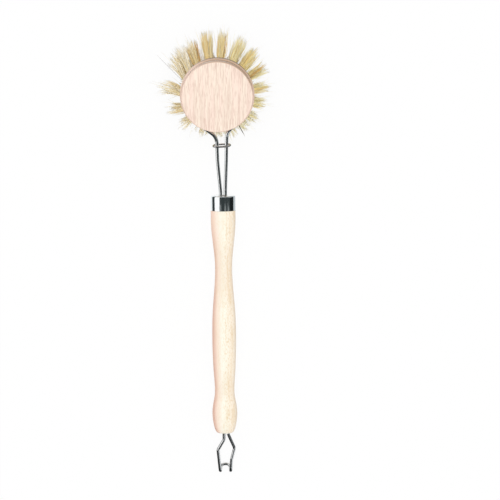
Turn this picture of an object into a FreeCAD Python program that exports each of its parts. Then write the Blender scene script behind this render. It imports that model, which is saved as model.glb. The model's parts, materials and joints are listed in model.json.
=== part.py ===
"""Dish brush with a round head that can be replaced, in millimetres.

A turned beech handle carries a plated cap on one end and a wire hook on the other. A sprung wire clip
leaves the cap as two legs and closes round a groove in a beech block, so the block can turn in it. A small
oval ring slides on the legs and locks the clip. Fibre tufts, each folded round a flat staple, fan out of
holes drilled in the underside of the block.

The brush is drawn with the handle along Y, the cap's crown at Y = 0, the head towards +Y and the back of
the head towards +Z. At the end it is laid down as it lies on a table, on its fibres and its hook, with the
origin under the middle of the whole brush and +Z up.
"""
import FreeCAD, Part
import math
import os

Vector = FreeCAD.Vector
X_AXIS = Vector(1, 0, 0)
Y_AXIS = Vector(0, 1, 0)
Z_AXIS = Vector(0, 0, 1)
ORIGIN = Vector(0, 0, 0)
FULL_TURN = 360

# Clearances of the fits
press_clearance = 0.05      # glued or driven fits: wire in wood, cap on wood, fibres in a hole
running_clearance = 0.12    # the clip's ring in the groove of the block

# Plated cap on the upper end of the handle
cap_diameter = 13.5
cap_length = 8.3
cap_wall = 0.4
crown_inner_round = 0.4
crown_hole_margin = 0.3     # the crown's hole is this much wider all round than the bore under it

# Turned handle, in lengths that follow one another from the cap to the butt
shoulder_length = 5.0
taper_length = 26.0
neck_diameter = 9.3
swell_length = 27.0
swell_diameter = 12.6
belly_length = 15.0
belly_diameter = 13.0
fall_length = 13.0
fall_diameter = 12.2
waist_length = 14.0
waist_diameter = 10.7
knob_rise = 8.2
knob_upper_diameter = 13.2
knob_crest = 4.6
knob_diameter = 13.6
knob_fall = 5.2
knob_lower_diameter = 12.3
butt_corner = 3.2
butt_corner_diameter = 10.4
butt_rounding = 1.4
butt_diameter = 8.0
butt_slant = 0.35           # how steeply the outline runs into the flat of the butt, along for each across
chamfer_spare = 0.2         # the chamfer under the cap is this much larger than the round inside its crown

# Sprung wire clip: two legs and the ring that they close into
clip_wire = 2.0
foot_gap = 0.5              # free gap between the two legs inside the handle
leg_depth = 28.0
bore_spare = 2.0            # the bore goes this much deeper than the legs
bend_height = 2.0           # the legs bend this far above the crown
bend_radius = 8.0
head_rake = 7.0             # degrees between the handle and the plane of the ring
knee_height = 17.0          # a slight kink in each leg, measured from the bend
left_knee = 2.75            # sideways places of the legs, measured from the middle of the handle
right_knee = 1.9
knee_radius = 40.0
leg_length = 30.2           # from the bend to the corner where the left leg flares
right_leg_extra = 2.6
left_flare = 3.1
right_flare = 2.4
flare_radius = 6.0
flare_clear = 4.3           # from the left corner to the nearest point of the ring
ring_offset = 2.6           # the ring's centre lies this far to the left of the handle

# Round block
lip_diameter = 38.8
lip_thickness = 2.4
lip_round = 0.7
flange_step = 0.8           # the flange below the groove stands out this much further than the lip
flange_thickness = 6.0
flange_round = 1.2

# Fibre tufts
hole_diameter = 3.4
hole_depth = 6.0
rim_wall = 2.2              # wood left outside the outer row of holes
row_wall = 0.5              # wood left between two rows at the bottom of the holes
tuft_wall = 0.95            # wood left between two holes of a row at their bottoms
outer_lean = 30.0           # degrees between a tuft and the axis of the block
middle_lean = 18.0
inner_lean = 8.0
first_tuft = 5.0            # degrees from the far side of the head to the first tuft of each row
tuft_length = 22.4          # free length, measured from the underside of the block
tuft_tip_diameter = 5.8
tuft_crown = 0.8

# Flat staple in the fold of each tuft
staple_thickness = 0.4
staple_height = 1.8
staple_bite = 0.3           # each end goes this far into the wood

# Sliding lock ring
lock_wire = 1.0
lock_side_play = 0.6        # free room beside each leg
lock_depth_play = 1.0       # free room across the legs, all below them while the brush lies down
lock_seat_gap = 0.15        # between the ring's upper strand and the legs that it hangs on
lock_below_flare = 1.8
lock_lean = 8.0             # degrees that the loose ring leans back towards the handle
lock_roll = 3.0             # degrees that it stands askew on the legs

# Wire hook at the butt
hook_wire = 1.8
shank_offset = 0.5          # the shank stands this far to the left of the middle of the butt
shank_depth = 25.0
shank_length = 4.0          # places along the hook are measured from the butt
left_corner = 9.8
left_corner_side = 3.4
right_corner = 8.8
right_corner_side = 5.7
right_waist = 14.9
right_waist_side = 4.0
hook_length = 20.9
left_end_side = 2.1         # sideways places of the two folds
right_end_side = 3.3
hook_fold = 140.0           # degrees that the ends of the legs are folded back under the loop
fold_radius = 1.3
return_straight = 0.12      # straight stretch of the folded strand on its way into its arch
return_round = 2.6
hook_bend = 2.0             # radius of the gentle bends
free_end_clear = 0.35       # room between the free end and the shank
free_end_gap = 0.7          # room between the free end and the butt

# Search for the slope at which the brush lies, in degrees
slope_guess = 5.0
slope_tolerance = 1e-5

# Places that several pieces share
cap_radius = cap_diameter / 2
crown_round = crown_inner_round + cap_wall
spigot_chamfer = crown_inner_round + chamfer_spare
foot_side = (clip_wire + foot_gap) / 2
leg_bore_radius = foot_side + clip_wire / 2 + press_clearance
spigot_radius = cap_radius - cap_wall - press_clearance
spigot_top = -cap_wall - press_clearance
ring_radius = (lip_diameter - clip_wire) / 2
ring_distance = leg_length + flare_clear + ring_radius
groove_half = clip_wire / 2 + running_clearance
back_height = groove_half + lip_thickness
flange_radius = lip_diameter / 2 + flange_step
underside = -groove_half - flange_thickness
hole_radius = hole_diameter / 2
fold_turn = math.radians(hook_fold)
fold_reach = fold_radius * math.tan(fold_turn / 2)
fold_corner = hook_length - fold_radius + fold_reach
arch_corner = fold_reach + return_straight + return_round
free_end_side = hook_wire + free_end_clear


def line(start, end):
    return Part.LineSegment(start, end).toShape()


def arc(start, middle, end):
    return Part.Arc(start, middle, end).toShape()


def turned(edges, axis):
    """A solid turned round an axis through the origin from a closed outline."""
    return Part.Face(Part.Wire(edges)).revolve(ORIGIN, axis, FULL_TURN)


def rounded_run(points, radii):
    """Straight runs through the points, joined by tangent arcs, one radius for each inner point."""
    edges = []
    start = points[0]
    for before, corner, after, radius in zip(points, points[1:], points[2:], radii):
        arrive = (corner - before).normalize()
        leave = (after - corner).normalize()
        half_turn = arrive.getAngle(leave) / 2
        reach = radius * math.tan(half_turn)
        inward = (leave - arrive).normalize()
        arc_start = corner - arrive * reach
        arc_end = corner + leave * reach
        arc_middle = corner + inward * (radius / math.cos(half_turn) - radius)
        edges.append(line(start, arc_start))
        edges.append(arc(arc_start, arc_middle, arc_end))
        start = arc_end
    edges.append(line(start, points[-1]))
    return edges


def drawn_wire(name, edges, diameter):
    """A round wire along tangent edges, with its volume set against section times length."""
    path = Part.Wire(edges)
    start = edges[0].valueAt(edges[0].FirstParameter)
    heading = edges[0].tangentAt(edges[0].FirstParameter)
    section = Part.Wire(Part.makeCircle(diameter / 2, start, heading))
    solid = path.makePipeShell([section], True, False)
    expected = math.pi * diameter ** 2 / 4 * path.Length
    print(f"{name}: wire {path.Length:.1f} mm long, volume {solid.Volume / expected:.4f} of section x length")
    return solid


# Handle and cap

def handle_stations():
    """Radius and distance below the crown of each point of the turned outline below the cap."""
    steps = [
        (cap_diameter, cap_length),
        (cap_diameter, shoulder_length),
        (neck_diameter, taper_length),
        (swell_diameter, swell_length),
        (belly_diameter, belly_length),
        (fall_diameter, fall_length),
        (waist_diameter, waist_length),
        (knob_upper_diameter, knob_rise),
        (knob_diameter, knob_crest),
        (knob_lower_diameter, knob_fall),
        (butt_corner_diameter, butt_corner),
        (butt_diameter, butt_rounding),
    ]
    stations = []
    below = 0
    for diameter, step in steps:
        below += step
        stations.append(Vector(diameter / 2, -below, 0))
    return stations


def handle_outline():
    """The smooth curve of the handle, leaving the straight shoulder along the axis."""
    curve = Part.BSplineCurve()
    curve.interpolate(Points=handle_stations()[1:], InitialTangent=-Y_AXIS,
                      FinalTangent=Vector(-1, -butt_slant, 0))
    return curve.toShape()


stations = handle_stations()
butt = stations[-1].y


def make_handle():
    top_axis = Vector(0, spigot_top, 0)
    chamfer_start = Vector(spigot_radius - spigot_chamfer, spigot_top, 0)
    chamfer_end = Vector(spigot_radius, spigot_top - spigot_chamfer, 0)
    spigot_foot = Vector(spigot_radius, -cap_length, 0)
    butt_axis = Vector(0, butt, 0)
    blank = turned([
        line(top_axis, chamfer_start),
        line(chamfer_start, chamfer_end),
        line(chamfer_end, spigot_foot),
        line(spigot_foot, stations[0]),
        line(stations[0], stations[1]),
        handle_outline(),
        line(stations[-1], butt_axis),
        line(butt_axis, top_axis),
    ], Y_AXIS)
    leg_bore = Part.makeCylinder(leg_bore_radius, leg_depth + bore_spare, ORIGIN, -Y_AXIS)
    shank_bore = Part.makeCylinder(hook_wire / 2 + press_clearance, shank_depth + bore_spare,
                                   on_hook(0, 0), Y_AXIS)
    return blank.cut([leg_bore, shank_bore])


def make_cap():
    """A drawn metal cup with a rounded crown and a hole in it for the legs of the clip."""
    hole = leg_bore_radius + crown_hole_margin
    inner_radius = cap_radius - cap_wall
    corner = Vector(cap_radius - crown_round, -crown_round, 0)
    diagonal = Vector(math.sqrt(0.5), math.sqrt(0.5), 0)
    outer_crown = corner + Y_AXIS * crown_round
    outer_side = corner + X_AXIS * crown_round
    inner_crown = corner + Y_AXIS * crown_inner_round
    inner_side = corner + X_AXIS * crown_inner_round
    outer_rim = Vector(cap_radius, -cap_length, 0)
    inner_rim = Vector(inner_radius, -cap_length, 0)
    return turned([
        line(Vector(hole, 0, 0), outer_crown),
        arc(outer_crown, corner + diagonal * crown_round, outer_side),
        line(outer_side, outer_rim),
        line(outer_rim, inner_rim),
        line(inner_rim, inner_side),
        arc(inner_side, corner + diagonal * crown_inner_round, inner_crown),
        line(inner_crown, Vector(hole, -cap_wall, 0)),
        line(Vector(hole, -cap_wall, 0), Vector(hole, 0, 0)),
    ], Y_AXIS)


# Wire clip

rake = math.radians(head_rake)


def in_clip(side, along, above=0):
    """A point given across, along and above the plane of the clip, measured from the bend of the legs."""
    return Vector(side,
                  bend_height + along * math.cos(rake) - above * math.sin(rake),
                  along * math.sin(rake) + above * math.cos(rake))


def ring_departure(corner_side, corner_along, turn):
    """Where a straight run from a corner outside the ring meets the ring at a tangent, on one side of it."""
    side = corner_side + ring_offset
    along = corner_along - ring_distance
    bearing = math.atan2(along, side) + turn * math.acos(ring_radius / math.hypot(side, along))
    return on_ring(bearing)


def on_ring(bearing):
    return in_clip(ring_radius * math.cos(bearing) - ring_offset,
                   ring_distance + ring_radius * math.sin(bearing))


def leg_points(direction, knee, flare, corner_along, ring_point):
    """One leg from its end in the handle to the ring; direction is -1 on the left and 1 on the right."""
    foot = direction * foot_side
    return [
        Vector(foot, -leg_depth, 0),
        Vector(foot, bend_height, 0),
        in_clip(direction * knee, knee_height),
        in_clip(direction * flare, corner_along),
        ring_point,
    ]


leg_radii = [bend_radius, knee_radius, flare_radius]
left_ring = ring_departure(-left_flare, leg_length, -1)
right_ring = ring_departure(right_flare, leg_length + right_leg_extra, 1)
left_leg = leg_points(-1, left_knee, left_flare, leg_length, left_ring)
right_leg = leg_points(1, right_knee, right_flare, leg_length + right_leg_extra, right_ring)


def make_clip():
    far_side = on_ring(math.pi / 2)
    edges = rounded_run(left_leg, leg_radii)
    edges.append(arc(left_ring, far_side, right_ring))
    edges.extend(rounded_run(right_leg[::-1], leg_radii[::-1]))
    return drawn_wire("wire_clip", edges, clip_wire)


# Lock ring

def leg_side(leg, along):
    """Sideways place of a leg at a distance from the bend, on its run from the knee to the flare."""
    knee, flare = leg[2], leg[3]
    share = (in_clip(0, along).y - knee.y) / (flare.y - knee.y)
    return knee.x + (flare.x - knee.x) * share


flare_turn = (left_leg[3] - left_leg[2]).getAngle(left_leg[4] - left_leg[3])
lock_along = leg_length - flare_radius * math.tan(flare_turn / 2) - lock_below_flare
lock_left = leg_side(left_leg, lock_along)
lock_right = leg_side(right_leg, lock_along)
lock_middle = (lock_left + lock_right) / 2
lock_inner_half = (lock_right - lock_left + clip_wire) / 2 + lock_side_play
lock_inner_depth = clip_wire + lock_depth_play + lock_seat_gap
lock_drop = lock_inner_depth / 2 - clip_wire / 2 - lock_seat_gap
lock_centre = in_clip(lock_middle, lock_along, -lock_drop)


def make_lock():
    """An oval of wire round both legs: two straight strands and two round ends."""
    end_radius = (lock_inner_depth + lock_wire) / 2
    reach = lock_inner_half + lock_wire / 2 - end_radius
    strand = Part.makeCylinder(lock_wire / 2, 2 * reach, Vector(-reach, 0, end_radius), X_AXIS)
    other_strand = Part.makeCylinder(lock_wire / 2, 2 * reach, Vector(-reach, 0, -end_radius), X_AXIS)
    section = Part.Face(Part.Wire(Part.makeCircle(lock_wire / 2, Vector(reach, 0, -end_radius), X_AXIS)))
    right_end = section.revolve(Vector(reach, 0, 0), -Y_AXIS, 180)
    left_end = right_end.copy()
    left_end.rotate(ORIGIN, Z_AXIS, 180)
    ring = strand.fuse([other_strand, right_end, left_end]).removeSplitter()
    ring.rotate(ORIGIN, Z_AXIS, lock_roll)
    ring.rotate(ORIGIN, X_AXIS, head_rake + lock_lean)
    ring.translate(lock_centre)
    return ring.Solids[0]


# Head: drawn round its own axis with the groove at Z = 0, then set in the clip

def set_in_clip(shape):
    placed = shape.copy()
    placed.rotate(ORIGIN, X_AXIS, head_rake)
    placed.translate(in_clip(-ring_offset, ring_distance))
    return placed


def tuft_rows():
    """Name, lean, radius at the underside and number of tufts of each row, from the rim inwards."""
    rows = []
    lean = math.radians(outer_lean)
    radius = flange_radius - rim_wall - hole_radius / math.cos(lean)
    for name, next_lean in (("outer", middle_lean), ("middle", inner_lean), ("inner", 0)):
        floor_radius = radius - hole_depth * math.sin(lean)
        count = int(2 * math.pi * floor_radius / (hole_diameter + tuft_wall))
        rows.append((name, lean, radius, count))
        following = math.radians(next_lean)
        step_in = hole_depth * (math.sin(lean) - math.sin(following))
        radius -= step_in + hole_diameter / math.cos(lean) + row_wall
        lean = following
    return rows


def stand_tuft(shape, lean, radius, bearing):
    """Lean a shape drawn along -Z outwards, move it to its row and turn it to its bearing."""
    placed = shape.copy()
    placed.rotate(ORIGIN, Y_AXIS, -math.degrees(lean))
    placed.translate(Vector(radius, 0, underside))
    placed.rotate(ORIGIN, Z_AXIS, 90 - bearing)
    return placed


def staple_box(spare):
    """The flat staple on the floor of a hole, or the room for it with some spare all round."""
    length = hole_diameter + 2 * (staple_bite + spare)
    thickness = staple_thickness + 2 * spare
    corner = Vector(-thickness / 2, -length / 2, hole_depth - staple_height - spare)
    return Part.makeBox(thickness, length, staple_height + 2 * spare, corner)


def make_tuft(lean):
    """A bundle of fibres: straight in its hole, flaring from the underside to a domed tip."""
    root = hole_radius - press_clearance
    floor = hole_depth - press_clearance
    flare_start = -hole_radius * math.tan(lean)
    tip = Vector(tuft_tip_diameter / 2, 0, -tuft_length)
    crown = Vector(0, 0, -tuft_length - tuft_crown)
    dome_radius = (tip.x ** 2 + tuft_crown ** 2) / (2 * tuft_crown)
    dome_half = math.asin(tip.x / dome_radius) / 2
    dome_middle = crown + Vector(dome_radius * math.sin(dome_half), 0,
                                 dome_radius * (1 - math.cos(dome_half)))
    bundle = turned([
        line(Vector(0, 0, floor), Vector(root, 0, floor)),
        line(Vector(root, 0, floor), Vector(root, 0, flare_start)),
        line(Vector(root, 0, flare_start), tip),
        arc(tip, dome_middle, crown),
        line(crown, Vector(0, 0, floor)),
    ], Z_AXIS)
    return bundle.cut(staple_box(press_clearance))


def make_head():
    """The block, its tufts by name, and the staples that hold them."""
    holes = []
    tufts = {}
    staples = []
    drill = Part.makeCylinder(hole_radius, 2 * hole_depth, Vector(0, 0, -hole_depth))
    for name, lean, radius, count in tuft_rows():
        bundle = make_tuft(lean)
        for index in range(count):
            place = (lean, radius, first_tuft + FULL_TURN * index / count)
            tufts[f"tuft_{name}_{index + 1:02d}"] = stand_tuft(bundle, *place)
            staples.append(stand_tuft(staple_box(0), *place))
            holes.append(stand_tuft(drill, *place))
            holes.append(stand_tuft(staple_box(press_clearance), *place))
    centre_place = (0, 0, first_tuft)
    tufts["tuft_centre"] = stand_tuft(make_tuft(0), *centre_place)
    staples.append(stand_tuft(staple_box(0), *centre_place))
    holes.append(stand_tuft(drill, *centre_place))
    holes.append(stand_tuft(staple_box(press_clearance), *centre_place))
    return make_block().cut(holes), tufts, staples


def make_block():
    lip = lip_diameter / 2
    groove = lip - clip_wire / 2
    lip_corner = Vector(lip - lip_round, 0, back_height - lip_round)
    flange_corner = Vector(flange_radius - flange_round, 0, underside + flange_round)
    back_diagonal = Vector(math.sqrt(0.5), 0, math.sqrt(0.5))
    foot_diagonal = Vector(math.sqrt(0.5), 0, -math.sqrt(0.5))
    back = Vector(0, 0, back_height)
    back_edge = lip_corner + Z_AXIS * lip_round
    lip_top = lip_corner + X_AXIS * lip_round
    upper_wall = Vector(groove, 0, groove_half)
    lower_wall = Vector(groove, 0, -groove_half)
    flange_foot = flange_corner + X_AXIS * flange_round
    foot_edge = flange_corner - Z_AXIS * flange_round
    return turned([
        line(back, back_edge),
        arc(back_edge, lip_corner + back_diagonal * lip_round, lip_top),
        line(lip_top, Vector(lip, 0, groove_half)),
        line(Vector(lip, 0, groove_half), upper_wall),
        arc(upper_wall, Vector(groove - groove_half, 0, 0), lower_wall),
        line(lower_wall, Vector(flange_radius, 0, -groove_half)),
        line(Vector(flange_radius, 0, -groove_half), flange_foot),
        arc(flange_foot, flange_corner + foot_diagonal * flange_round, foot_edge),
        line(foot_edge, Vector(0, 0, underside)),
        line(Vector(0, 0, underside), back),
    ], Z_AXIS)


# Hook

def on_hook(side, along, above=0):
    """A point given across, along and above the hook, measured from the shank where it leaves the butt."""
    return Vector(side - shank_offset, butt - along, above)


def on_strand(side, reach):
    """A point of the strand that is folded back, at a reach from the corner of the fold."""
    return on_hook(side, fold_corner + reach * math.cos(fold_turn), -reach * math.sin(fold_turn))


def make_hook():
    """A shank driven into the butt, a loop of two legs, and a strand that arches back under it."""
    corners = [
        (on_hook(0, shank_length), hook_bend),
        (on_hook(-left_corner_side, left_corner), hook_bend),
        (on_strand(-left_end_side, 0), fold_radius),
        (on_strand(-left_end_side, arch_corner), return_round),
        (on_strand(right_end_side, arch_corner), return_round),
        (on_strand(right_end_side, 0), fold_radius),
        (on_hook(right_waist_side, right_waist), hook_bend),
        (on_hook(right_corner_side, right_corner), hook_bend),
    ]
    points = [on_hook(0, -shank_depth)]
    points.extend(point for point, radius in corners)
    points.append(on_hook(free_end_side, free_end_gap))
    return drawn_wire("hanging_hook", rounded_run(points, [radius for point, radius in corners]), hook_wire)


# Lay the brush down and write the pieces

def lowest(shapes, slope):
    turned_shapes = Part.makeCompound(shapes)
    turned_shapes.rotate(ORIGIN, X_AXIS, slope)
    return turned_shapes.optimalBoundingBox(False, False).ZMin


def resting_slope(head_pieces, butt_pieces):
    """Degrees that the handle slopes when both the fibres and the butt's end touch the table."""
    slope = 0.0
    next_slope = slope_guess
    drop = lowest(head_pieces, slope) - lowest(butt_pieces, slope)
    while abs(next_slope - slope) > slope_tolerance:
        next_drop = lowest(head_pieces, next_slope) - lowest(butt_pieces, next_slope)
        steeper = next_slope - next_drop * (next_slope - slope) / (next_drop - drop)
        slope, drop, next_slope = next_slope, next_drop, steeper
    return next_slope


block, tufts, staples = make_head()
pieces = {
    "handle": make_handle(),
    "ferrule": make_cap(),
    "wire_clip": make_clip(),
    "lock_ring": make_lock(),
    "hanging_hook": make_hook(),
    "head_block": set_in_clip(block),
    "tuft_staples": Part.makeCompound([set_in_clip(staple) for staple in staples]),
}
for name, tuft in tufts.items():
    pieces[name] = set_in_clip(tuft)

resting_tufts = [shape for name, shape in pieces.items() if name.startswith("tuft_outer")]
slope = resting_slope(resting_tufts, [pieces["handle"], pieces["hanging_hook"]])
whole = Part.makeCompound(list(pieces.values()))
whole.rotate(ORIGIN, X_AXIS, slope)
box = whole.optimalBoundingBox(False, False)
to_origin = Vector(-box.Center.x, -box.Center.y, -box.ZMin)

os.makedirs("parts", exist_ok=True)
for name, shape in pieces.items():
    shape.rotate(ORIGIN, X_AXIS, slope)
    shape.translate(to_origin)
    shape.exportStep(f"parts/{name}.step")

# Places that a drawing of the brush needs
laid = FreeCAD.Placement(to_origin, FreeCAD.Rotation(X_AXIS, slope))
head_axis = laid.Rotation.multVec(in_clip(0, 0, 1) - in_clip(0, 0))
leg_axis = laid.Rotation.multVec(in_clip(0, 1) - in_clip(0, 0))
hook_seat = on_hook((right_end_side - left_end_side) / 2, hook_length - hook_wire / 2, -fold_radius)
print(f"slope {slope:.3f} degrees, box {box.XLength:.2f} x {box.YLength:.2f} x {box.ZLength:.2f} mm")
print("head centre", laid.multVec(in_clip(-ring_offset, ring_distance)), "axis", head_axis)
print("lock centre", laid.multVec(lock_centre), "axis", leg_axis, "along the legs", lock_along)
print("hook seat", laid.multVec(hook_seat), "handle axis", laid.Rotation.multVec(Y_AXIS))
for corner in (on_hook(-left_end_side, left_corner), on_strand(right_end_side, arch_corner)):
    print("hook loop corner", laid.multVec(corner))
print("rows", [(name, round(radius, 2), count) for name, lean, radius, count in tuft_rows()])
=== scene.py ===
# %% [markdown]
# # Dressing a dish brush
# The brush lies on a white table, as it was photographed from straight above. Its places come from
# the imported model; each solid is drawn anew and the model's own is hidden, except the staples.
# What this lesson adds is what the eye reads: turned beech with its grain, bright plated wire, and
# tufts made of real fibres. Each step says what the piece is and why it is made this way.

# %% Load the frame
import json
import math

import bpy
import numpy as np
from mathutils import Matrix, Vector
from mathutils.geometry import interpolate_bezier


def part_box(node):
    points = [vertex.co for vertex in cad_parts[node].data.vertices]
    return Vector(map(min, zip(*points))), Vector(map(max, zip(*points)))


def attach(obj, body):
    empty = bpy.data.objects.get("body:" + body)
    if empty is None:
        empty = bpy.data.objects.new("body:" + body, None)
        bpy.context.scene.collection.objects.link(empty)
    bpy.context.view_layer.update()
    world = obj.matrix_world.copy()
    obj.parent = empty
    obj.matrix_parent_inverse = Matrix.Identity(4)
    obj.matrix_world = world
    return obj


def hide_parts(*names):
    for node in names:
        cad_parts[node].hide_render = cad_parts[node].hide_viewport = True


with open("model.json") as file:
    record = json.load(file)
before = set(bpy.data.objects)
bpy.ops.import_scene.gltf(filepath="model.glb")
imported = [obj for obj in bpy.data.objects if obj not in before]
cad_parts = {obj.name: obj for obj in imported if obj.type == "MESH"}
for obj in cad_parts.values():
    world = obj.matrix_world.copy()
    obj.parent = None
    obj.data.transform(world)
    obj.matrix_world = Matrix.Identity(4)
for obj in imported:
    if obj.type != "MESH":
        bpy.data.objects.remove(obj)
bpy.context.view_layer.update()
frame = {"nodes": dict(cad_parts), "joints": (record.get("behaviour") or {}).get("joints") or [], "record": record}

mm = 0.001

# %% [markdown]
# ## The camera
# A long lens high above the table flattens the view, so the round head stays round although it
# leans. A camera with no turn looks straight down with +Y up in the picture, and only a small roll
# is left to set. The lens follows from the height and from how much of the table the picture spans.

# %% Camera
camera_height = 1.5
picture_width = 0.27656
picture_centre = (0.01712, 0.00193)
camera_roll = math.radians(-0.448)
sensor_width = 36

bpy.ops.object.camera_add(location=(*picture_centre, camera_height), rotation=(0, 0, camera_roll))
camera = bpy.context.object
camera.data.sensor_width = sensor_width
camera.data.lens = sensor_width * camera_height / picture_width
bpy.context.scene.camera = camera
print("lens", round(camera.data.lens, 1), "mm")

# %% [markdown]
# ## Writing finishes as sums
# A finish is easier to read as arithmetic than as a picture of boxes and threads. A Field is one
# value that changes over a surface. Python's own operators add the Math nodes, one method adds any
# other node, and a few short ones name the nodes that come back often.

# %% Fields
class Field:
    """One output socket of a node tree, on which arithmetic adds Math nodes."""

    def __init__(self, socket):
        self.socket = socket

    def node(self, kind, settings=None, inputs=None, output=0):
        """Add a node to the same tree: its settings first, then values or fields for its inputs."""
        tree = self.socket.id_data
        made = tree.nodes.new(kind)
        for name, setting in (settings or {}).items():
            if name == "stops":
                place_stops(made.color_ramp, setting)
            else:
                setattr(made, name, setting)
        for key, value in (inputs or {}).items():
            if isinstance(value, Field):
                tree.links.new(value.socket, made.inputs[key])
            else:
                made.inputs[key].default_value = value
        return Field(made.outputs[output])

    def sum(self, operation, first, second):
        return self.node("ShaderNodeMath", {"operation": operation}, {0: first, 1: second})

    def __add__(self, other):
        return self.sum("ADD", self, other)

    def __radd__(self, other):
        return self.sum("ADD", other, self)

    def __sub__(self, other):
        return self.sum("SUBTRACT", self, other)

    def __rsub__(self, other):
        return self.sum("SUBTRACT", other, self)

    def __mul__(self, other):
        return self.sum("MULTIPLY", self, other)

    def __rmul__(self, other):
        return self.sum("MULTIPLY", other, self)

    def __truediv__(self, other):
        return self.sum("DIVIDE", self, other)

    def __rtruediv__(self, other):
        return self.sum("DIVIDE", other, self)

    def rise(self, low, high):
        """0 below low, 1 above high and a soft step between them."""
        return self.node("ShaderNodeMapRange", {"interpolation_type": "SMOOTHSTEP"},
                         {"Value": self, "From Min": low, "From Max": high})

    def mix(self, first, second):
        """The first colour where this field is 0, the second where it is 1."""
        return self.node("ShaderNodeMix", {"data_type": "RGBA"},
                         {0: self, 6: first, 7: second}, output=2)

    def times(self, colour):
        """This colour multiplied by another colour or by a grey field."""
        return self.node("ShaderNodeMix", {"data_type": "RGBA", "blend_type": "MULTIPLY"},
                         {0: 1.0, 6: self, 7: colour}, output=2)

    def part(self, axis):
        """One coordinate of a place."""
        return self.node("ShaderNodeSeparateXYZ", {}, {0: self}, output=axis)

    def only(self, kept):
        """A place with the coordinates marked by 1, and 0 for the others."""
        return self.node("ShaderNodeVectorMath", {"operation": "MULTIPLY"}, {0: self, 1: kept})

    def length(self):
        """How far a place is from the middle."""
        return self.node("ShaderNodeVectorMath", {"operation": "LENGTH"}, {0: self}, output="Value")

    def noise(self, width, length, detail):
        """Soft noise about 0.5, in blotches of this width that are drawn out along Y."""
        scale = (1 / width, 1 / length, 1 / width)
        stretched = self.node("ShaderNodeMapping", {}, {"Vector": self, "Scale": scale})
        return self.node("ShaderNodeTexNoise", {},
                         {"Vector": stretched, "Scale": 1.0, "Detail": detail})

    def bump(self, strength, distance):
        """A surface direction from this field, taken as a height."""
        return self.node("ShaderNodeBump", {},
                         {"Strength": strength, "Distance": distance, "Height": self})


print("fields ready")

# %% Starting a finish
def place_stops(ramp, stops):
    """Set a colour ramp's stops from pairs of a place and a colour."""
    while len(ramp.elements) < len(stops):
        ramp.elements.new(1.0)
    for element, (place, colour) in zip(ramp.elements, stops):
        element.position = place
        element.color = colour


def srgb(red, green, blue):
    """The linear values that a shader takes, from a screen colour with parts from 0 to 255."""
    linear = [(part / 255 / 12.92) if part <= 10 else ((part / 255 + 0.055) / 1.055) ** 2.4
              for part in (red, green, blue)]
    return (*linear, 1.0)


def new_finish(name):
    """A material, its shader node, and the place on the surface as a field."""
    material = bpy.data.materials.new(name)
    material.use_nodes = True
    tree = material.node_tree
    shader = tree.nodes["Principled BSDF"]
    place = Field(tree.nodes.new("ShaderNodeTexCoord").outputs["Object"])
    return material, shader, place


def feed(shader, **inputs):
    """Link fields to the shader's own sockets or set plain values, with underscores for spaces."""
    for name, value in inputs.items():
        socket = shader.inputs[name.replace("_", " ")]
        if isinstance(value, Field):
            socket.id_data.links.new(value.socket, socket)
        else:
            socket.default_value = value


print("finishes ready")

# %% [markdown]
# ## Table, light and cards
# The table is white and so is everything behind it. A broad lamp above and light from all round
# shade the brush softly. Bright metal has no look of its own: it shows what stands round it. So, as
# a photographer does, cards go over and beside the brush. Most are dark, some grey or pale, and
# white ones stand on the left. The hook points another way and has cards of its own. They are seen
# by reflections alone, so they neither shade the brush nor show in the picture.

# %% Table
table_size = 8.0
table_drop = 0.05 * mm
table_glow = 0.92
table_white = (0.95, 0.95, 0.95, 1)
pure_white = (1, 1, 1, 1)


def seen_directly(place):
    """1 on rays from the camera, in reflections and in glass, 0 on rays of soft light."""
    rays = [place.node("ShaderNodeLightPath", output=kind)
            for kind in ("Is Camera Ray", "Is Glossy Ray", "Is Transmission Ray")]
    return (rays[0] + rays[1] + rays[2]).rise(0, 1)


bpy.ops.mesh.primitive_plane_add(size=table_size, location=(0, 0, -table_drop))
table = bpy.context.object
table.name = "table"
table_finish, table_shader, table_place = new_finish("white_table")
feed(table_shader, Base_Color=table_white, Roughness=0.9, Specular_IOR_Level=0.0)
white = table_place.node("ShaderNodeEmission", {}, {"Color": pure_white, "Strength": 1.0})
bleached = table_place.node("ShaderNodeMixShader", {}, {
    0: seen_directly(table_place) * table_glow, 1: Field(table_shader.outputs["BSDF"]), 2: white})
table_output = table_finish.node_tree.nodes["Material Output"]
table_finish.node_tree.links.new(bleached.socket, table_output.inputs["Surface"])
table.data.materials.append(table_finish)
print("table", table_size, "m wide")

# %% Room
ambient = 0.80

world = bpy.data.worlds.new("white_room")
bpy.context.scene.world = world
world.use_nodes = True
world_nodes = world.node_tree.nodes
world_nodes.clear()
rays = Field(world_nodes.new("ShaderNodeLightPath").outputs["Is Camera Ray"])
room = rays.node("ShaderNodeBackground", {}, {"Color": pure_white, "Strength": ambient})
backdrop = rays.node("ShaderNodeBackground", {}, {"Color": pure_white, "Strength": 1.0})
both = rays.node("ShaderNodeMixShader", {}, {0: seen_directly(rays), 1: room, 2: backdrop})
world_output = world_nodes.new("ShaderNodeOutputWorld")
world.node_tree.links.new(both.socket, world_output.inputs["Surface"])
print("light from all round", ambient)

# %% Lamp
lamp_place = (0.02, 0.02, 0.9)
lamp_side = 0.7
lamp_energy = 2.5

bpy.ops.object.light_add(type="AREA", location=lamp_place)
lamp = bpy.context.object
lamp.name = "lamp"
lamp.data.size = lamp_side
lamp.data.energy = lamp_energy
lamp.visible_camera = False
lamp.visible_glossy = False
print("lamp", lamp_energy, "W,", lamp_side, "m wide")

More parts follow.
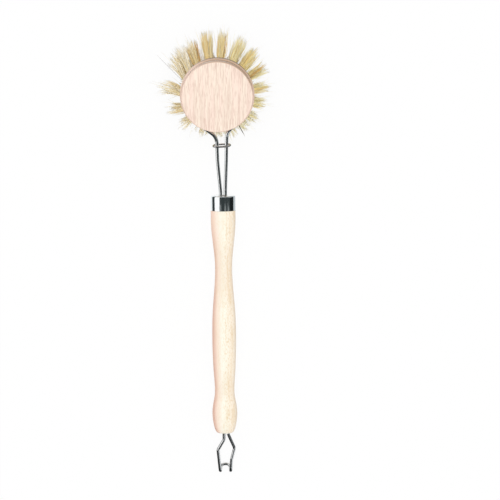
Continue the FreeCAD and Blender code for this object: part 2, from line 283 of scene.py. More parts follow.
# %% Papers for the cards
paper_greys = {
    "deep": (0.012, 0.015, 0.015, 1),
    "black": (0.038, 0.048, 0.049, 1),
    "dim": (0.23, 0.25, 0.25, 1),
    "half": (0.32, 0.33, 0.33, 1),
    "grey": (0.58, 0.62, 0.63, 1),
    "pale": (0.80, 0.84, 0.86, 1),
    "bright": (0.97, 1.0, 1.0, 1),
    "white": (1.15, 1.15, 1.15, 1),
}


def card_paper(name, grey):
    """A paper that gives off its own grey, so that no lamp changes it."""
    material, shader, place = new_finish(name + "_paper")
    feed(shader, Base_Color=(0, 0, 0, 1), Specular_IOR_Level=0, Emission_Color=grey,
         Emission_Strength=1.0)
    return material


papers = {name: card_paper(name, grey) for name, grey in paper_greys.items()}
print(len(papers), "papers")

# %% Places of the cards
# Each row has a name, a paper, two edges as places across and above the table, and the start and
# end along the brush, in millimetres. None is the slanting line where the hook's cards begin.
near, far = -600, 600
left, right, top = -450, 400, 450
clip_line, hook_back, hook_side = -110, -240, -400
hook_floor, hook_end = -98, -121.5
card_sheets = [
    ("pale_floor_left", "bright", (-46, 0), (-8, 0), hook_floor, far),
    ("dark_floor_left", "black", (left, 0), (-46, 0), hook_floor, far),
    ("dark_skirting_left", "black", (left, 0), (left, 75), None, far),
    ("white_wall_left", "white", (left, 75), (-258, 418), clip_line, 160),
    ("dark_wall_left", "black", (-258, 418), (-240, top), clip_line, 160),
    ("white_wall_by_clip", "white", (left, 75), (-275, 387), None, clip_line),
    ("deep_wall_by_clip", "deep", (-275, 387), (-240, top), None, clip_line),
    ("pale_strip_by_ring", "pale", (-200, 448), (300, 448), 220, 420),
    ("grey_strip_left", "dim", (-239, 449), (-120, 449), clip_line, -42),
    ("dark_ceiling", "black", (-240, top), (right, top), clip_line, far),
    ("deep_ceiling", "deep", (-240, top), (right, top), None, clip_line),
    ("grey_strip_middle", "dim", (100, 449), (230, 449), clip_line, -42),
    ("grey_strip_right", "dim", (305, 335), (330, 200), clip_line, -22),
    ("dark_wall_right", "black", (right, 170), (right, top), clip_line, 60),
    ("deep_wall_right", "deep", (right, 170), (right, top), None, clip_line),
    ("deep_skirting_right", "deep", (right, 0), (right, 170), None, 60),
    ("half_wall_right", "half", (right, 0), (right, top), 60, far),
    ("deep_floor_right", "deep", (55, 0), (right, 0), hook_floor, far),
    ("grey_floor_right", "grey", (12, 0), (55, 0), hook_floor, far),
    ("deep_floor_by_hook", "deep", (left, 0), (-3, 0), near, hook_floor),
    ("deep_wall_by_hook", "deep", (left, 0), (left, top), near, None),
    ("deep_ceiling_by_hook", "deep", (left, top), (-300, top), hook_back, None),
    ("half_ceiling_by_hook", "half", (-300, top), (250, top), hook_back, None),
    ("pale_ceiling_by_hook", "pale", (250, top), (right, top), hook_back, None),
    ("pale_wall_by_hook", "pale", (right, 0), (right, top), hook_side, None),
    ("deep_ceiling_near", "deep", (left, top), (right, top), near, hook_back),
    ("deep_wall_near", "deep", (right, 0), (right, top), near, hook_side),
    ("deep_floor_under_hook", "deep", (-3, 0), (60, 0), near, hook_end),
    ("dark_end_near", "black", (left, 0), (right, top), near, near),
    ("dark_end_far", "black", (left, 90), (right, top), far, far),
]
print(len(card_sheets), "places for cards")

# %% Standing the cards
brush_middle = 2.6 * mm
card_lift = 0.5 * mm
line_at_table, line_at_top = -107, -189


def hook_line(height):
    """Where the hook's cards begin at a height, along the brush."""
    return line_at_table + (line_at_top - line_at_table) * height / top


def stand_card(name, paper, start, end, y_start, y_end):
    """A flat sheet from one edge to the other, seen by reflections alone."""
    bpy.ops.mesh.primitive_plane_add(size=2)
    card = bpy.context.object
    card.name = name
    standing = y_start == y_end
    for vertex in card.data.vertices:
        x_share, y_share = (vertex.co.x + 1) / 2, (vertex.co.y + 1) / 2
        height = start[1] + (end[1] - start[1]) * (y_share if standing else x_share)
        first, last = (hook_line(height) if edge is None else edge for edge in (y_start, y_end))
        vertex.co = (brush_middle + (start[0] + (end[0] - start[0]) * x_share) * mm,
                     (first + (last - first) * y_share) * mm,
                     card_lift + height * mm)
    card.data.materials.append(papers[paper])
    for ray in ("camera", "diffuse", "transmission", "shadow"):
        setattr(card, "visible_" + ray, False)


for sheet in card_sheets:
    stand_card(*sheet)
print(len(card_sheets), "cards")

# %% [markdown]
# ## Where the pieces stand
# The frame knows the brush's own directions: the lock ring slides along the legs of the clip, the
# head turns about its axis, and the hook's mount points along the handle. From these come three
# sets of axes. Every piece is drawn in one of them in plain sizes and then set in place.

# %% Axes
joints = {joint["name"]: joint for joint in frame["joints"]}
mounts = {mount["name"]: mount for mount in frame["record"]["mounts"]}
across = Vector((1, 0, 0))
leg_axis = Vector(joints["lock_ring_slide"]["axis"]).normalized()
head_axis = Vector(joints["head_turn"]["axis"]).normalized()
head_centre = Vector(joints["head_turn"]["pos_m"])
handle_axis = Vector(mounts["hang_hook"]["axis"]).normalized()
handle_up = across.cross(handle_axis)


def axes_at(origin, along, up):
    """The matrix that takes across, along and up from a drawing to the brush."""
    matrix = Matrix((across, along, up)).transposed().to_4x4()
    matrix.translation = origin
    return matrix


def middle(values):
    return (min(values) + max(values)) / 2


cap_points = [vertex.co for vertex in frame["nodes"]["ferrule"].data.vertices]
crown = (across * middle([point.x for point in cap_points])
         + handle_axis * max(point.dot(handle_axis) for point in cap_points)
         + handle_up * middle([point.dot(handle_up) for point in cap_points]))
bend_height = 2.0 * mm
handle_place = axes_at(crown, handle_axis, handle_up)
clip_place = axes_at(crown + handle_axis * bend_height, leg_axis, head_axis)
head_place = axes_at(head_centre, leg_axis, head_axis)
print("crown of the cap at", [round(part / mm, 2) for part in crown], "mm")

# %% [markdown]
# ## Beech
# Beech is pale and close, cream with a blush of pink, and it shows short dark flecks along the
# grain. The grain is worked out from the place in the wood, stretched along the piece, so end grain
# and long grain agree, as in a turned stick.

# %% Wood finish
streak_share = 0.45
pore_shade = 0.12
grain_bump, grain_depth = 0.25, 0.06 * mm


def beech(name, place_in_brush, colours, fleck_size, fleck_share, tint):
    """Bare beech with its grain along a piece; tint adds what is particular to the piece."""
    cream, blush, fleck = colours
    material, shader, place = new_finish(name)
    wood = place.node("ShaderNodeMapping", {"vector_type": "TEXTURE"},
                      {"Vector": place, "Location": place_in_brush.translation,
                       "Rotation": place_in_brush.to_euler()})
    broad = wood.noise(2.6 * mm, 40 * mm, 2.0)
    streak = wood.noise(1.0 * mm, 16 * mm, 3.0)
    flecks = wood.noise(*fleck_size, 1.5).rise(0.50, 0.66)
    pores = wood.noise(0.3 * mm, 3 * mm, 2.0)
    tone = broad.rise(0.40, 0.62).mix(cream, blush)
    tinted, marked = tint(wood, tone)
    lined = (streak.rise(0.46, 0.68) * marked * streak_share).mix(tinted, fleck)
    flecked = (flecks * marked * fleck_share).mix(lined, fleck)
    shade = flecked.times(pores * pore_shade + (1 - pore_shade / 2))
    height = pores * 0.6 + streak * 0.4 - flecks * 0.5
    feed(shader, Base_Color=shade, Roughness=0.52 + pores * 0.2,
         Normal=height.bump(grain_bump, grain_depth), Specular_IOR_Level=0.3)
    return material


print("beech ready")

# %% [markdown]
# ## Wood of the handle
# Pinker colour runs down its left and a yellower cream right of the middle: painted light, warm
# from the left and cooler from the right. Both edges are darker, as painted shade, and flecks show
# right of the middle, where the cut is flat. Its neck and waist are darker. The tint reads how far a
# place is to the side, from -1 at the left to 1 at the right, and a slow noise lets the borders
# wander.

# %% Handle wood
# Painted light: a pink for warm light on the left and a yellower cream for light on the right. Painted shade: a
# darker pink along the left edge and a grey along the right edge.
warm_light_pink, shaded_left_pink = srgb(251, 220, 203), srgb(225, 181, 163)
right_light_cream, shaded_right_grey = srgb(254, 239, 219), srgb(224, 210, 193)
# A darker tone for the neck and waist.
neck_and_waist_tone = srgb(238, 214, 190)


def handle_tint(wood, tone):
    """The tinted tone, and how strongly flecks show on it."""
    radius = wood.only((1, 0, 1)).length()
    side = wood.part("X") / radius
    along = wood.part("Y")
    wander = (wood.noise(5 * mm, 40 * mm, 3.0) - 0.5) * 0.5
    inside = side + wander
    # Painted warm light: pinker down the left side.
    warm_lit_left = ((1 - inside.rise(-0.95, -0.1)) * 0.95).mix(tone, warm_light_pink)
    shoulder = along.rise(-34 * mm, -12 * mm)
    growth = wood.noise(1.4 * mm, 30 * mm, 3.0) * 1.1 + 0.45
    # Painted shade along the left edge, less towards the cap.
    left_edge_shade = 1 - (side + wander * 0.3).rise(-1.0, -0.58)
    shaded_left_flank = (left_edge_shade * (0.95 - shoulder * 0.8) * growth).mix(warm_lit_left, shaded_left_pink)
    # Painted light: a yellower cream right of the middle.
    right_lit = (inside.rise(0.1, 0.65) * 0.7).mix(shaded_left_flank, right_light_cream)
    # Painted shade along the right edge.
    shaded_right_edge = (side.rise(0.72, 1.0) * 0.7).mix(right_lit, shaded_right_grey)
    # Darker at the neck and waist.
    slim = (1 - radius.rise(4.8 * mm, 6.2 * mm)) * along.rise(-118 * mm, -112 * mm)
    darker_neck_and_waist = (slim * 0.28).mix(shaded_right_edge, neck_and_waist_tone)
    return darker_neck_and_waist, inside.rise(-0.25, 0.25) * 0.6 + 0.35


handle_wood = beech("beech_handle", handle_place,
                    (srgb(254, 250, 235), srgb(252, 246, 228), srgb(232, 204, 160)),
                    (0.42 * mm, 1.3 * mm), 0.6, handle_tint)
print("wood", handle_wood.name)

# %% [markdown]
# ## Plated steel
# The cap is drawn from thin sheet and plated bright. The wires are drawn too, and the plating of
# the lock ring and the hook is duller, with fine marks. All are plain metal whose roughness wanders
# slightly, which keeps a reflection from looking printed.

# %% Metal finishes
def plated(name, colour, smooth, dull, ripple):
    """Plating whose roughness wanders between two values and whose surface is not quite even."""
    material, shader, place = new_finish(name)
    wander = place.noise(2.5 * mm, 4 * mm, 3.0)
    scuffs = place.noise(0.25 * mm, 1.5 * mm, 2.0)
    bump = (wander + scuffs * 0.15).bump(ripple, 0.1 * mm)
    feed(shader, Base_Color=colour, Metallic=1.0, Normal=bump,
         Roughness=wander * (dull - smooth) + smooth)
    return material


cap_plate = plated("plated_cap", (0.86, 0.88, 0.89, 1), 0.05, 0.16, 0.2)
wire_plate = plated("plated_wire", (0.84, 0.85, 0.85, 1), 0.06, 0.18, 0.15)
ring_plate = plated("dull_plated_wire", (0.66, 0.67, 0.68, 1), 0.12, 0.26, 0.2)
hook_plate = plated("satin_plated_wire", (0.84, 0.84, 0.84, 1), 0.12, 0.26, 0.2)
staple_steel = plated("staple_steel", (0.56, 0.56, 0.56, 1), 0.30, 0.45, 0.2)
metals = (cap_plate, wire_plate, ring_plate, hook_plate, staple_steel)
print("metals", *(metal.name for metal in metals))

# %% [markdown]
# ## Plant fibre
# Each fibre of a tuft has its own shade, from pale straw to amber, so the bundle reads as many
# strands. The shade is an attribute of the mesh, drawn once for each fibre when the tuft is grown,
# and a second attribute runs from the root to the tip, where the fibres are bleached a little.

# %% Fibre finish
def plant_fibre():
    material, shader, place = new_finish("plant_fibre")
    shade = place.node("ShaderNodeAttribute", {"attribute_name": "shade"}, output="Fac")
    along = place.node("ShaderNodeAttribute", {"attribute_name": "along"}, output="Fac")
    blotch = place.noise(0.5 * mm, 0.5 * mm, 2.0)
    straw = place.node("ShaderNodeValToRGB", {"stops": [
        (0.0, srgb(70, 62, 42)),
        (0.08, srgb(204, 160, 80)),
        (0.3, srgb(242, 206, 126)),
        (0.55, srgb(255, 238, 176)),
        (0.8, srgb(255, 249, 216)),
        (1.0, srgb(255, 253, 242)),
    ]}, {"Fac": shade + (blotch - 0.5) * 0.16 + (along - 0.5) * 0.12})
    # Painted light: fibres on the left are tinted warmer and those on the right yellower, for coloured light from
    # each side.
    light_side = place.part("X").rise(-22 * mm, 22 * mm)
    painted_light_cast = light_side.mix(srgb(255, 247, 236), srgb(254, 250, 226))
    feed(shader, Base_Color=straw.times(painted_light_cast), Roughness=0.55, Specular_IOR_Level=0.35,
         Sheen_Weight=0.8, Sheen_Tint=srgb(255, 244, 214))
    return material


fibre_finish = plant_fibre()
print("fibre", fibre_finish.name)

# %% [markdown]
# ## Tools for shaping
# Turned pieces start as an outline that is spun round an axis. Wires start as a run of straight
# edges whose corners are bevelled into arcs, which then gets a round section. Both start from a
# single point that is extruded from place to place, as one would draw them by hand.

# %% Drawing a run of edges
def active_only(piece):
    bpy.ops.object.select_all(action="DESELECT")
    piece.select_set(True)
    bpy.context.view_layer.objects.active = piece


def draw_run(name, points):
    """A chain of edges through the points, left in edit mode with nothing else in the mesh."""
    bpy.ops.mesh.primitive_plane_add(size=mm)
    run = bpy.context.object
    run.name = name
    run.data.name = name
    bpy.ops.object.mode_set(mode="EDIT")
    bpy.ops.mesh.merge(type="CENTER")
    bpy.ops.transform.translate(value=points[0])
    for before, after in zip(points, points[1:]):
        bpy.ops.mesh.extrude_vertices_move(TRANSFORM_OT_translate={"value": after - before})
    return run


def select_vertices(piece, chosen):
    """In edit mode, select only the vertices for which the test is true."""
    bpy.ops.mesh.select_mode(type="VERT")
    bpy.ops.mesh.select_all(action="DESELECT")
    bpy.ops.object.mode_set(mode="OBJECT")
    for vertex in piece.data.vertices:
        vertex.select = chosen(vertex)
    bpy.ops.object.mode_set(mode="EDIT")


def arc_points(centre, radius, start, end, steps, plane):
    """Points on an arc between two angles in degrees, each made from two lengths by plane."""
    angles = np.radians(np.linspace(start, end, steps + 1))
    return [plane(centre[0] + radius * math.cos(angle), centre[1] + radius * math.sin(angle))
            for angle in angles]


print("drawing tools ready")

# %% Turning and bending
weld_reach = 0.002 * mm
corner_reach = 0.01 * mm
wire_sides = 16
least_steps, steps_per_radian = 4, 8


def close_mesh():
    """In edit mode, merge what lies together and turn all faces outwards."""
    bpy.ops.mesh.select_all(action="SELECT")
    bpy.ops.mesh.remove_doubles(threshold=weld_reach)
    bpy.ops.mesh.normals_make_consistent(inside=False)
    bpy.ops.object.mode_set(mode="OBJECT")


def spin_outline(name, points, axis, steps=96):
    """A turned piece from an outline whose places are given across and along the axis."""
    piece = draw_run(name, points)
    bpy.ops.mesh.select_all(action="SELECT")
    bpy.ops.mesh.spin(steps=steps, angle=math.tau, center=(0, 0, 0), axis=axis)
    close_mesh()
    return piece


def bend_wire(name, points, radii, diameter):
    """A round wire along the points, with an arc at each corner that radii names by its number."""
    run = draw_run(name, points)
    for corner, radius in radii.items():
        place = points[corner]
        arrive, leave = place - points[corner - 1], points[corner + 1] - place
        turn = arrive.angle(leave)
        select_vertices(run, lambda vertex: (vertex.co - place).length < corner_reach)
        bpy.ops.mesh.bevel(offset=radius * math.tan(turn / 2),
                           segments=max(least_steps, round(turn * steps_per_radian)),
                           affect="VERTICES", profile=0.5)
    bpy.ops.object.mode_set(mode="OBJECT")
    return round_section(run, diameter, wire_sides)


def round_section(run, diameter, sides):
    """Turn a chain of edges into a closed round wire."""
    active_only(run)
    bpy.ops.object.convert(target="CURVE")
    run.data.bevel_depth = diameter / 2
    run.data.bevel_resolution = sides // 2 - 2
    run.data.use_fill_caps = True
    bpy.ops.object.convert(target="MESH")
    bpy.ops.object.mode_set(mode="EDIT")
    close_mesh()
    return run


print("turning and bending tools ready")

# %% Drilling and setting in place
smooth_angle = math.radians(35)
drill_sides = 24


def drill(piece, radius, depth, places):
    """Cut a round hole at each place, along its own Z axis, with one joined set of drills."""
    drills = []
    for place in places:
        bpy.ops.mesh.primitive_cylinder_add(vertices=drill_sides, radius=radius, depth=2 * depth)
        drills.append(bpy.context.object)
        drills[-1].matrix_world = place
    for cutter in drills:
        cutter.select_set(True)
    bpy.context.view_layer.objects.active = drills[0]
    bpy.ops.object.join()
    cutter = bpy.context.object
    bpy.ops.object.transform_apply()
    active_only(piece)
    cut = piece.modifiers.new("drill", "BOOLEAN")
    cut.operation = "DIFFERENCE"
    cut.solver = "EXACT"
    cut.object = cutter
    bpy.ops.object.modifier_apply(modifier=cut.name)
    bpy.data.objects.remove(cutter)


def finish_piece(piece, place, body, slot, finish, *nodes):
    """Set a drawn piece in its place, give it its finish and let it stand for its solids."""
    active_only(piece)
    piece.matrix_world = place
    bpy.ops.object.transform_apply()
    bpy.ops.object.shade_smooth_by_angle(angle=smooth_angle)
    piece.data.materials.clear()
    piece.data.materials.append(finish)
    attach(piece, body)
    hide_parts(*nodes)
    print(piece.name, len(piece.data.polygons), "faces")


print("drilling and setting tools ready")

# %% [markdown]
# ## The handle
# The handle is turned from one stick: a straight shoulder at the cap, a slim neck, a long swell, a
# waist and a rounded knob. A few stations of radius and length are enough, and a smooth curve runs
# through them. The bore for the clip is part of the outline, and the hook's hole is drilled.

# %% Handle outline
cap_radius = 6.75 * mm
cap_length = 8.3 * mm
spigot_radius = 6.3 * mm
spigot_top = 0.45 * mm
spigot_chamfer = 0.6 * mm
shoulder_chamfer = 0.15 * mm
leg_bore = (2.3 * mm, 30 * mm)
handle_stations = [
    (6.75, 13.3), (4.65, 39.3), (6.3, 66.3), (6.5, 81.3), (6.1, 94.3), (5.35, 108.3),
    (6.6, 116.5), (6.8, 121.1), (6.15, 126.3), (5.2, 129.5), (4.0, 130.9),
]
station_steps = 10
shoulder_slope = (0, -1)
butt_slope = (-1, -0.35)


def lathe(radius, below):
    """A place on an outline: so far from the handle's axis, so far below the cap's crown."""
    return Vector((radius, -below, 0))


def smooth_through(points, first_slope, last_slope, steps):
    """A smooth line through points, leaving the first and reaching the last along given slopes."""
    slopes = [Vector((*first_slope, 0)).normalized()]
    slopes += [(after - before).normalized() for before, after in zip(points, points[2:])]
    slopes.append(Vector((*last_slope, 0)).normalized())
    line = [points[0]]
    for start, end, leave, arrive in zip(points, points[1:], slopes, slopes[1:]):
        reach = (end - start).length / 3
        first_pull, last_pull = start + leave * reach, end - arrive * reach
        line += interpolate_bezier(start, first_pull, last_pull, end, steps + 1)[1:]
    return line


stations = [lathe(radius * mm, below * mm) for radius, below in handle_stations]
butt = -stations[-1].y
handle_outline = [
    lathe(0, leg_bore[1]),
    lathe(*leg_bore),
    lathe(leg_bore[0], spigot_top),
    lathe(spigot_radius - spigot_chamfer, spigot_top),
    lathe(spigot_radius, spigot_top + spigot_chamfer),
    lathe(spigot_radius, cap_length),
    lathe(cap_radius - shoulder_chamfer, cap_length),
    lathe(cap_radius, cap_length + shoulder_chamfer),
]
handle_outline += smooth_through(stations, shoulder_slope, butt_slope, station_steps)
handle_outline.append(lathe(0, butt))
print("the outline has", len(handle_outline), "places")

# %% Handle
shank_side = -0.5 * mm
shank_bore = (0.95 * mm, 27 * mm)

handle = spin_outline("turned_handle", handle_outline, (0, 1, 0))
shank_turn = Matrix.Rotation(math.radians(90), 4, "X")
drill(handle, *shank_bore, [Matrix.Translation((shank_side, -butt, 0)) @ shank_turn])
finish_piece(handle, handle_place, "grip", "beech_handle", handle_wood, "handle")

# %% [markdown]
# ## The cap
# A drawn metal cup with a rolled crown, open at the bottom and with a hole in the crown for the
# clip's two legs. Spinning the outline of its wall, inside and out, gives it its real thickness.

# %% Cap
cap_wall = 0.4 * mm
crown_round = 0.8 * mm
crown_steps = 8
crown_hole = 2.6 * mm
hole_chamfer = 0.15 * mm
rim_round = 0.12 * mm
crown_corner = (cap_radius - crown_round, crown_round)


def crown_arc(radius, start, end):
    return arc_points(crown_corner, radius, start, end, crown_steps, lathe)


cap_outline = [
    lathe(crown_hole, cap_wall),
    lathe(crown_hole, hole_chamfer),
    lathe(crown_hole + hole_chamfer, 0),
]
cap_outline += crown_arc(crown_round, -90, 0)
cap_outline += [
    lathe(cap_radius, cap_length - rim_round),
    lathe(cap_radius - rim_round, cap_length),
    lathe(cap_radius - cap_wall + rim_round, cap_length),
    lathe(cap_radius - cap_wall, cap_length - rim_round),
]
cap_outline += crown_arc(crown_round - cap_wall, 0, -90)
cap_outline.append(cap_outline[0])
cap = spin_outline("plated_ferrule", cap_outline, (0, 1, 0))
finish_piece(cap, handle_place, "grip", "plated_cap", cap_plate, "ferrule")

# %% [markdown]
# ## The wire clip
# One sprung wire makes the whole clip: it leaves the handle as a leg, flares, runs round the head's
# groove and comes back as the other leg. Where a leg flares, its straight run meets the ring at a
# tangent, which is a right triangle: its corner, the ring's centre and the point of departure.

# %% Route of the clip
clip_wire = 2.0 * mm
foot_side = 1.25 * mm
leg_depth = 28 * mm
knee_height = 17 * mm
leg_length = 30.2 * mm
left_knee, left_flare, left_corner = 2.75 * mm, 3.1 * mm, leg_length
right_knee, right_flare, right_corner = 1.9 * mm, 2.4 * mm, leg_length + 2.6 * mm
lip_radius = 19.4 * mm
ring_radius = lip_radius - clip_wire / 2
ring_steps = 72
to_clip = clip_place.inverted()
ring_centre = to_clip @ head_centre


def on_ring(bearing):
    return ring_centre + Vector((math.cos(bearing), math.sin(bearing), 0)) * ring_radius


def departure(side, along, turn):
    """The bearing at which the straight run from a corner touches the ring, on one side of it."""
    reach = Vector((side, along, 0)) - ring_centre
    return math.atan2(reach.y, reach.x) + turn * math.acos(ring_radius / reach.length)


def leg(direction, knee, flare, corner):
    """A leg from its end in the handle up to the corner where it flares."""
    handle_to_clip = to_clip @ handle_place
    return [
        handle_to_clip @ Vector((direction * foot_side, -leg_depth, 0)),
        Vector((direction * foot_side, 0, 0)),
        Vector((direction * knee, knee_height, 0)),
        Vector((direction * flare, corner, 0)),
    ]


left_leg = leg(-1, left_knee, left_flare, left_corner)
right_leg = leg(1, right_knee, right_flare, right_corner)
left_bearing = departure(-left_flare, left_corner, -1)
right_bearing = departure(right_flare, right_corner, 1) - math.tau
bearings = np.linspace(left_bearing, right_bearing, ring_steps + 1)
clip_route = left_leg + [on_ring(bearing) for bearing in bearings] + right_leg[::-1]
print("the clip runs through", len(clip_route), "places")

# %% Clip
leg_radii = [8 * mm, 40 * mm, 6 * mm]

last_place = len(clip_route) - 1
clip_radii = dict(enumerate(leg_radii, start=1))
clip_radii.update({last_place - corner: radius for corner, radius in enumerate(leg_radii, start=1)})
clip = bend_wire("sprung_clip", clip_route, clip_radii, clip_wire)
finish_piece(clip, clip_place, "grip", "plated_wire", wire_plate, "wire_clip")

# %% [markdown]
# ## The lock ring
# A thinner wire bent to an oval that rides on both legs. It is loose here, so it leans back a
# little and stands askew, hanging on the legs by its upper strand.

# %% Lock ring
lock_wire = 1.0 * mm
lock_sides = 14
lock_half_width = 4.68 * mm
lock_half_depth = 2.075 * mm
lock_steps = 16
lock_lean = math.radians(8)
lock_roll = math.radians(3)
lock_low, lock_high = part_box("lock_ring")
lock_centre = (lock_low + lock_high) / 2


def oval_points(half_width, half_depth, steps):
    """A closed oval of two straight strands and two round ends, as points across and above."""
    def plane(side, above):
        return Vector((side, 0, above))
    reach = half_width - half_depth
    right = arc_points((reach, 0), half_depth, -90, 90, steps, plane)
    left = arc_points((-reach, 0), half_depth, 90, 270, steps, plane)
    return right + left + right[:1]


lock_run = draw_run("oval_lock", oval_points(lock_half_width, lock_half_depth, lock_steps))
close_mesh()
lock = round_section(lock_run, lock_wire, lock_sides)
lock_place = (axes_at(lock_centre, leg_axis, head_axis)
              @ Matrix.Rotation(lock_lean, 4, "X") @ Matrix.Rotation(lock_roll, 4, "Z"))
finish_piece(lock, lock_place, "lock", "plated_wire", ring_plate, "lock_ring")

# %% [markdown]
# ## The hook
# The hook's wire is driven into the butt, opens into a small kite and turns back under itself at
# the end, so that the brush can hang from a rail or a nail. It is one run with an arc at each
# corner.

# %% Hook
hook_wire = 1.8 * mm
hook_bend = 2.0 * mm
hook_length = 20.9 * mm
shank_depth = 25 * mm
left_end, right_end = -2.1 * mm, 3.3 * mm
hook_fold = math.radians(140)
fold_radius = 1.3 * mm
fold_reach = fold_radius * math.tan(hook_fold / 2)
return_round = 2.6 * mm
return_run = 0.12 * mm
arch_reach = fold_reach + return_run + return_round


def on_hook(side, below, behind=0):
    """A place on the hook: across from its shank, below the butt and behind the loop."""
    return Vector((shank_side + side, -butt - below, -behind))


def on_strand(side, reach):
    """A place on the strand that is folded back, at a reach from the corner of the fold."""
    corner = hook_length - fold_radius + fold_reach
    return on_hook(side, corner + reach * math.cos(hook_fold), reach * math.sin(hook_fold))


hook_corners = [
    (on_hook(0, 4.0 * mm), hook_bend),
    (on_hook(-3.4 * mm, 9.8 * mm), hook_bend),
    (on_strand(left_end, 0), fold_radius),
    (on_strand(left_end, arch_reach), return_round),
    (on_strand(right_end, arch_reach), return_round),
    (on_strand(right_end, 0), fold_radius),
    (on_hook(4.0 * mm, 14.9 * mm), hook_bend),
    (on_hook(5.7 * mm, 8.8 * mm), hook_bend),
]
hook_route = [on_hook(0, -shank_depth)]
hook_route += [place for place, radius in hook_corners]
hook_route.append(on_hook(2.15 * mm, 0.7 * mm))
hook_radii = {number + 1: radius for number, (place, radius) in enumerate(hook_corners)}
hook = bend_wire("hanging_wire_hook", hook_route, hook_radii, hook_wire)
finish_piece(hook, handle_place, "grip", "plated_wire", hook_plate, "hanging_hook")

# %% [markdown]
# ## The round block
# The block is turned like the handle: a rounded lip on its back, a half-round groove for the clip
# and a wider flange below. Its underside is then drilled, one slanting hole for each tuft.

# %% Block
lip_round = 0.7 * mm
lip_thickness = 2.4 * mm
groove_half = 1.12 * mm
flange_radius = lip_radius + 0.8 * mm
flange_thickness = 6.0 * mm
flange_round = 1.2 * mm
edge_round = 0.12 * mm
back_height = groove_half + lip_thickness
underside = -groove_half - flange_thickness
lip_centre = (lip_radius - lip_round, back_height - lip_round)
flange_centre = (flange_radius - flange_round, underside + flange_round)


def on_head(radius, above):
    return Vector((radius, 0, above))


block_outline = [on_head(0, back_height)]
block_outline += arc_points(lip_centre, lip_round, 90, 0, 6, on_head)
block_outline += [
    on_head(lip_radius, groove_half + edge_round),
    on_head(lip_radius - edge_round, groove_half),
]
block_outline += arc_points((ring_radius, 0), groove_half, 90, 270, 12, on_head)
block_outline += [
    on_head(flange_radius - edge_round, -groove_half),
    on_head(flange_radius, -groove_half - edge_round),
]
block_outline += arc_points(flange_centre, flange_round, 0, -90, 6, on_head)
block_outline.append(on_head(0, underside))
block = spin_outline("turned_block", block_outline, (0, 0, 1), steps=128)
print("the block is", round(2 * flange_radius / mm, 1), "mm wide")

# %% Holes for the tufts
hole_radius = 1.7 * mm
hole_depth = 6 * mm
first_tuft = 5
tuft_rows = [
    ("outer", 30, 16.04 * mm, 18),
    ("middle", 18, 10.47 * mm, 12),
    ("inner", 8, 5.37 * mm, 6),
]


def tuft_places():
    """Name, lean, radius and bearing of each tuft, with the leans and bearings in degrees."""
    places = []
    for row, lean, radius, count in tuft_rows:
        for number in range(count):
            bearing = first_tuft + 360 * number / count
            places.append((f"tuft_{row}_{number + 1:02d}", lean, radius, bearing))
    places.append(("tuft_centre", 0, 0, first_tuft))
    return places


def tuft_axes(lean, radius, bearing):
    """Axes at a hole's mouth: sideways out of the lean, round the block, out along the tuft."""
    turn = Matrix.Rotation(math.radians(90 - bearing), 4, "Z")
    out = Matrix.Translation((radius, 0, underside))
    return turn @ out @ Matrix.Rotation(math.radians(180 - lean), 4, "Y")


drill(block, hole_radius, hole_depth, [tuft_axes(*place) for name, *place in tuft_places()])
print(len(tuft_places()), "holes")

# %% [markdown]
# ## Wood of the block
# The same beech, with longer flecks. The turned rim is a little darker and pinker than the flat
# back. Painted shade makes its far side browner, and painted shadow lines run along the lip and the
# flange's foot, darkest on the far side.

# %% Block wood
# Painted shade: the rim's far side is browner, with a dark shadow line along the lip's edge and a dark shadow at
# the flange's foot.
far_shade_side = (0.42, 0.91, 0)
rim_pink, shaded_rim_brown = srgb(249, 221, 204), srgb(214, 183, 153)
groove_shadow_brown, foot_shadow_brown = srgb(138, 92, 66), srgb(98, 70, 50)


def block_tint(wood, tone):
    """The tinted tone, and how strongly flecks show on it."""
    level = wood.only((1, 1, 0))
    radius = level.length()
    facing = level.node("ShaderNodeVectorMath", {"operation": "DOT_PRODUCT"},
                        {0: level, 1: far_shade_side}, output="Value")
    # How much a place faces the far side, where the shade is painted.
    far_side_shade = facing.rise(0.35 * lip_radius, 0.98 * lip_radius)
    rim = radius.rise(lip_radius - 0.7 * mm, lip_radius - 0.2 * mm)
    # A thin ring along the lip's edge, where a shadow line is painted.
    line = radius.rise(lip_radius - 0.5 * mm, lip_radius - 0.15 * mm)
    line = line * (1 - radius.rise(lip_radius + 0.1 * mm, lip_radius + 0.4 * mm))
    # The lower part of the flange's edge, where a shadow is painted.
    foot = 1 - wood.part("Z").rise(underside + 1.8 * mm, underside + 6.0 * mm)
    edge = radius.rise(flange_radius - 0.4 * mm, flange_radius) * foot
    # The rim is pinker, and on the far side it is painted browner as shade.
    banded = (rim * 0.9).mix(tone, far_side_shade.mix(rim_pink, shaded_rim_brown))
    lined = (line * (far_side_shade * 0.26 + 0.12)).mix(banded, groove_shadow_brown)
    return (edge * (far_side_shade * 0.75 + 0.1)).mix(lined, foot_shadow_brown), 1 - rim * 0.6


block_wood = beech("beech_block", head_place,
                   (srgb(252, 235, 218), srgb(251, 228, 213), srgb(221, 193, 177)),
                   (0.42 * mm, 4.6 * mm), 0.60, block_tint)
finish_piece(block, head_place, "head", "beech_block", block_wood, "head_block")

# %% [markdown]
# ## The tufts
# A tuft is a bundle of fibres folded into its hole. One fibre is modelled first, a slim five-sided
# spike with a few rings so that it can bend. Each tuft then copies it about a hundred times: the
# roots fill the hole, the tips spread, and every copy has its own length, bend and shade. The
# random numbers start from a fixed seed, so the brush grows the same way each time.

# %% One fibre
fibre_sides = 5
fibre_rings = 6


